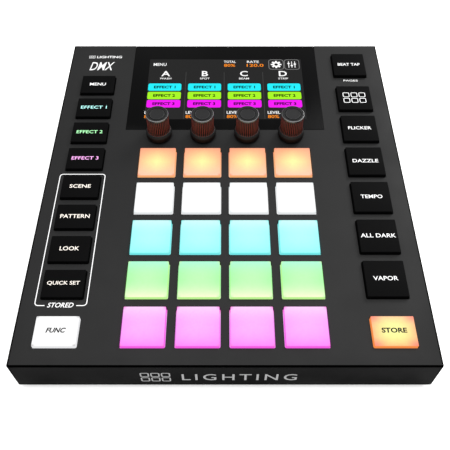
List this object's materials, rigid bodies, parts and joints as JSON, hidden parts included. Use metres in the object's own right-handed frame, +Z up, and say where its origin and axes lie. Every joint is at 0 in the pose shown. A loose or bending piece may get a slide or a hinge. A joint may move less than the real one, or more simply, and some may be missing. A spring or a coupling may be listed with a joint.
{
  "type": "lighting control desk",
  "caption": "Low wedge-shaped lighting control desk: sloping deck with a grid of lit pads, key columns down both sides, ribbed push-and-turn knobs and a colour screen let into the back edge.",
  "frame": {"origin": "on the surface it stands on, under the middle of its bounding box", "axes": "+X to the operator's right, +Y to the back of the desk, +Z up; the deck slopes up 5 degrees towards +Y"},
  "size_m": [0.2208, 0.252, 0.0619],
  "materials": {
    "cover": "fine-grained matt charcoal moulding",
    "tray": "satin black sheet steel",
    "panel": "satin black sheet steel",
    "glass": "black-bordered cover glass, glossy",
    "display_frame": "pressed steel frame",
    "board": "green solder mask",
    "foot_rubber": "matt black",
    "socket_metal": "black-plated die casting",
    "usb_shell": "nickel plated",
    "pad_magenta": "translucent silicone, lit magenta",
    "pad_green": "translucent silicone, lit green",
    "pad_cyan": "translucent silicone, lit cyan",
    "pad_white": "translucent silicone, lit white",
    "pad_amber": "translucent silicone, lit amber",
    "key_black": "fine matt black silicone, printed legend",
    "key_lit_white": "translucent silicone, lit white",
    "key_lit_amber": "translucent silicone, lit amber",
    "shaft_steel": "ground",
    "knob": "satin dark plastic with a bright ring"
  },
  "bodies": {
    "root": {"top_cover": "cover", "base_tray": "tray", "rear_panel": "panel", "screen_glass": "glass", "display_module": "display_frame", "control_board": "board", "main_board": "board", "foot_front_left": "foot_rubber", "foot_front_right": "foot_rubber", "foot_rear_left": "foot_rubber", "foot_rear_right": "foot_rubber", "dmx_socket_1": "socket_metal", "dmx_socket_2": "socket_metal", "dmx_socket_3": "socket_metal", "usb_socket": "usb_shell"},
    "pad_1a": {"pad_1a": "pad_magenta"},
    "pad_1b": {"pad_1b": "pad_magenta"},
    "pad_1c": {"pad_1c": "pad_magenta"},
    "pad_1d": {"pad_1d": "pad_magenta"},
    "pad_2a": {"pad_2a": "pad_green"},
    "pad_2b": {"pad_2b": "pad_green"},
    "pad_2c": {"pad_2c": "pad_green"},
    "pad_2d": {"pad_2d": "pad_green"},
    "pad_3a": {"pad_3a": "pad_cyan"},
    "pad_3b": {"pad_3b": "pad_cyan"},
    "pad_3c": {"pad_3c": "pad_cyan"},
    "pad_3d": {"pad_3d": "pad_cyan"},
    "pad_4a": {"pad_4a": "pad_white"},
    "pad_4b": {"pad_4b": "pad_white"},
    "pad_4c": {"pad_4c": "pad_white"},
    "pad_4d": {"pad_4d": "pad_white"},
    "pad_5a": {"pad_5a": "pad_amber"},
    "pad_5b": {"pad_5b": "pad_amber"},
    "pad_5c": {"pad_5c": "pad_amber"},
    "pad_5d": {"pad_5d": "pad_amber"},
    "key_func": {"key_func": "key_lit_white"},
    "key_store": {"key_store": "key_lit_amber"},
    "key_bank_1": {"key_bank_1": "key_black"},
    "key_bank_2": {"key_bank_2": "key_black"},
    "key_bank_3": {"key_bank_3": "key_black"},
    "key_bank_4": {"key_bank_4": "key_black"},
    "key_effect_3": {"key_effect_3": "key_black"},
    "key_effect_2": {"key_effect_2": "key_black"},
    "key_effect_1": {"key_effect_1": "key_black"},
    "key_menu": {"key_menu": "key_black"},
    "key_haze": {"key_haze": "key_black"},
    "key_all_off": {"key_all_off": "key_black"},
    "key_rate": {"key_rate": "key_black"},
    "key_blind": {"key_blind": "key_black"},
    "key_flash": {"key_flash": "key_black"},
    "key_grid": {"key_grid": "key_black"},
    "key_tap": {"key_tap": "key_black"},
    "encoder_shaft_a": {"encoder_shaft_a": "shaft_steel"},
    "knob_a": {"knob_a": "knob"},
    "encoder_shaft_b": {"encoder_shaft_b": "shaft_steel"},
    "knob_b": {"knob_b": "knob"},
    "encoder_shaft_c": {"encoder_shaft_c": "shaft_steel"},
    "knob_c": {"knob_c": "knob"},
    "encoder_shaft_d": {"encoder_shaft_d": "shaft_steel"},
    "knob_d": {"knob_d": "knob"}
  },
  "joints": [
    {"name": "pad_1a_press", "type": "slide", "parent": "root", "child": "pad_1a", "axis": [0, 0.0872, -0.9962], "range_m": [0, 0.001], "stiffness_N_per_m": 400, "springref_m": -0.001},
    {"name": "pad_1b_press", "type": "slide", "parent": "root", "child": "pad_1b", "axis": [0, 0.0872, -0.9962], "range_m": [0, 0.001], "stiffness_N_per_m": 400, "springref_m": -0.001},
    {"name": "pad_1c_press", "type": "slide", "parent": "root", "child": "pad_1c", "axis": [0, 0.0872, -0.9962], "range_m": [0, 0.001], "stiffness_N_per_m": 400, "springref_m": -0.001},
    {"name": "pad_1d_press", "type": "slide", "parent": "root", "child": "pad_1d", "axis": [0, 0.0872, -0.9962], "range_m": [0, 0.001], "stiffness_N_per_m": 400, "springref_m": -0.001},
    {"name": "pad_2a_press", "type": "slide", "parent": "root", "child": "pad_2a", "axis": [0, 0.0872, -0.9962], "range_m": [0, 0.001], "stiffness_N_per_m": 400, "springref_m": -0.001},
    {"name": "pad_2b_press", "type": "slide", "parent": "root", "child": "pad_2b", "axis": [0, 0.0872, -0.9962], "range_m": [0, 0.001], "stiffness_N_per_m": 400, "springref_m": -0.001},
    {"name": "pad_2c_press", "type": "slide", "parent": "root", "child": "pad_2c", "axis": [0, 0.0872, -0.9962], "range_m": [0, 0.001], "stiffness_N_per_m": 400, "springref_m": -0.001},
    {"name": "pad_2d_press", "type": "slide", "parent": "root", "child": "pad_2d", "axis": [0, 0.0872, -0.9962], "range_m": [0, 0.001], "stiffness_N_per_m": 400, "springref_m": -0.001},
    {"name": "pad_3a_press", "type": "slide", "parent": "root", "child": "pad_3a", "axis": [0, 0.0872, -0.9962], "range_m": [0, 0.001], "stiffness_N_per_m": 400, "springref_m": -0.001},
    {"name": "pad_3b_press", "type": "slide", "parent": "root", "child": "pad_3b", "axis": [0, 0.0872, -0.9962], "range_m": [0, 0.001], "stiffness_N_per_m": 400, "springref_m": -0.001},
    {"name": "pad_3c_press", "type": "slide", "parent": "root", "child": "pad_3c", "axis": [0, 0.0872, -0.9962], "range_m": [0, 0.001], "stiffness_N_per_m": 400, "springref_m": -0.001},
    {"name": "pad_3d_press", "type": "slide", "parent": "root", "child": "pad_3d", "axis": [0, 0.0872, -0.9962], "range_m": [0, 0.001], "stiffness_N_per_m": 400, "springref_m": -0.001},
    {"name": "pad_4a_press", "type": "slide", "parent": "root", "child": "pad_4a", "axis": [0, 0.0872, -0.9962], "range_m": [0, 0.001], "stiffness_N_per_m": 400, "springref_m": -0.001},
    {"name": "pad_4b_press", "type": "slide", "parent": "root", "child": "pad_4b", "axis": [0, 0.0872, -0.9962], "range_m": [0, 0.001], "stiffness_N_per_m": 400, "springref_m": -0.001},
    {"name": "pad_4c_press", "type": "slide", "parent": "root", "child": "pad_4c", "axis": [0, 0.0872, -0.9962], "range_m": [0, 0.001], "stiffness_N_per_m": 400, "springref_m": -0.001},
    {"name": "pad_4d_press", "type": "slide", "parent": "root", "child": "pad_4d", "axis": [0, 0.0872, -0.9962], "range_m": [0, 0.001], "stiffness_N_per_m": 400, "springref_m": -0.001},
    {"name": "pad_5a_press", "type": "slide", "parent": "root", "child": "pad_5a", "axis": [0, 0.0872, -0.9962], "range_m": [0, 0.001], "stiffness_N_per_m": 400, "springref_m": -0.001},
    {"name": "pad_5b_press", "type": "slide", "parent": "root", "child": "pad_5b", "axis": [0, 0.0872, -0.9962], "range_m": [0, 0.001], "stiffness_N_per_m": 400, "springref_m": -0.001},
    {"name": "pad_5c_press", "type": "slide", "parent": "root", "child": "pad_5c", "axis": [0, 0.0872, -0.9962], "range_m": [0, 0.001], "stiffness_N_per_m": 400, "springref_m": -0.001},
    {"name": "pad_5d_press", "type": "slide", "parent": "root", "child": "pad_5d", "axis": [0, 0.0872, -0.9962], "range_m": [0, 0.001], "stiffness_N_per_m": 400, "springref_m": -0.001},
    {"name": "key_func_press", "type": "slide", "parent": "root", "child": "key_func", "axis": [0, 0.0872, -0.9962], "range_m": [0, 0.001], "stiffness_N_per_m": 500, "springref_m": -0.001},
    {"name": "key_store_press", "type": "slide", "parent": "root", "child": "key_store", "axis": [0, 0.0872, -0.9962], "range_m": [0, 0.001], "stiffness_N_per_m": 500, "springref_m": -0.001},
    {"name": "key_bank_1_press", "type": "slide", "parent": "root", "child": "key_bank_1", "axis": [0, 0.0872, -0.9962], "range_m": [0, 0.001], "stiffness_N_per_m": 500, "springref_m": -0.001},
    {"name": "key_bank_2_press", "type": "slide", "parent": "root", "child": "key_bank_2", "axis": [0, 0.0872, -0.9962], "range_m": [0, 0.001], "stiffness_N_per_m": 500, "springref_m": -0.001},
    {"name": "key_bank_3_press", "type": "slide", "parent": "root", "child": "key_bank_3", "axis": [0, 0.0872, -0.9962], "range_m": [0, 0.001], "stiffness_N_per_m": 500, "springref_m": -0.001},
    {"name": "key_bank_4_press", "type": "slide", "parent": "root", "child": "key_bank_4", "axis": [0, 0.0872, -0.9962], "range_m": [0, 0.001], "stiffness_N_per_m": 500, "springref_m": -0.001},
    {"name": "key_effect_3_press", "type": "slide", "parent": "root", "child": "key_effect_3", "axis": [0, 0.0872, -0.9962], "range_m": [0, 0.001], "stiffness_N_per_m": 500, "springref_m": -0.001},
    {"name": "key_effect_2_press", "type": "slide", "parent": "root", "child": "key_effect_2", "axis": [0, 0.0872, -0.9962], "range_m": [0, 0.001], "stiffness_N_per_m": 500, "springref_m": -0.001},
    {"name": "key_effect_1_press", "type": "slide", "parent": "root", "child": "key_effect_1", "axis": [0, 0.0872, -0.9962], "range_m": [0, 0.001], "stiffness_N_per_m": 500, "springref_m": -0.001},
    {"name": "key_menu_press", "type": "slide", "parent": "root", "child": "key_menu", "axis": [0, 0.0872, -0.9962], "range_m": [0, 0.001], "stiffness_N_per_m": 500, "springref_m": -0.001},
    {"name": "key_haze_press", "type": "slide", "parent": "root", "child": "key_haze", "axis": [0, 0.0872, -0.9962], "range_m": [0, 0.001], "stiffness_N_per_m": 500, "springref_m": -0.001},
    {"name": "key_all_off_press", "type": "slide", "parent": "root", "child": "key_all_off", "axis": [0, 0.0872, -0.9962], "range_m": [0, 0.001], "stiffness_N_per_m": 500, "springref_m": -0.001},
    {"name": "key_rate_press", "type": "slide", "parent": "root", "child": "key_rate", "axis": [0, 0.0872, -0.9962], "range_m": [0, 0.001], "stiffness_N_per_m": 500, "springref_m": -0.001},
    {"name": "key_blind_press", "type": "slide", "parent": "root", "child": "key_blind", "axis": [0, 0.0872, -0.9962], "range_m": [0, 0.001], "stiffness_N_per_m": 500, "springref_m": -0.001},
    {"name": "key_flash_press", "type": "slide", "parent": "root", "child": "key_flash", "axis": [0, 0.0872, -0.9962], "range_m": [0, 0.001], "stiffness_N_per_m": 500, "springref_m": -0.001},
    {"name": "key_grid_press", "type": "slide", "parent": "root", "child": "key_grid", "axis": [0, 0.0872, -0.9962], "range_m": [0, 0.001], "stiffness_N_per_m": 500, "springref_m": -0.001},
    {"name": "key_tap_press", "type": "slide", "parent": "root", "child": "key_tap", "axis": [0, 0.0872, -0.9962], "range_m": [0, 0.001], "stiffness_N_per_m": 500, "springref_m": -0.001},
    {"name": "knob_a_turn", "type": "hinge", "parent": "root", "child": "encoder_shaft_a", "pos_m": [-0.0426, 0.03259, 0.04209], "axis": [0, -0.0872, 0.9962], "continuous": true},
    {"name": "knob_a_push", "type": "slide", "parent": "encoder_shaft_a", "child": "knob_a", "axis": [0, 0.0872, -0.9962], "range_m": [0, 0.0005], "stiffness_N_per_m": 3000, "springref_m": -0.0005},
    {"name": "knob_b_turn", "type": "hinge", "parent": "root", "child": "encoder_shaft_b", "pos_m": [-0.0142, 0.03259, 0.04209], "axis": [0, -0.0872, 0.9962], "continuous": true},
    {"name": "knob_b_push", "type": "slide", "parent": "encoder_shaft_b", "child": "knob_b", "axis": [0, 0.0872, -0.9962], "range_m": [0, 0.0005], "stiffness_N_per_m": 3000, "springref_m": -0.0005},
    {"name": "knob_c_turn", "type": "hinge", "parent": "root", "child": "encoder_shaft_c", "pos_m": [0.0142, 0.03259, 0.04209], "axis": [0, -0.0872, 0.9962], "continuous": true},
    {"name": "knob_c_push", "type": "slide", "parent": "encoder_shaft_c", "child": "knob_c", "axis": [0, 0.0872, -0.9962], "range_m": [0, 0.0005], "stiffness_N_per_m": 3000, "springref_m": -0.0005},
    {"name": "knob_d_turn", "type": "hinge", "parent": "root", "child": "encoder_shaft_d", "pos_m": [0.0426, 0.03259, 0.04209], "axis": [0, -0.0872, 0.9962], "continuous": true},
    {"name": "knob_d_push", "type": "slide", "parent": "encoder_shaft_d", "child": "knob_d", "axis": [0, 0.0872, -0.9962], "range_m": [0, 0.0005], "stiffness_N_per_m": 3000, "springref_m": -0.0005}
  ]
}
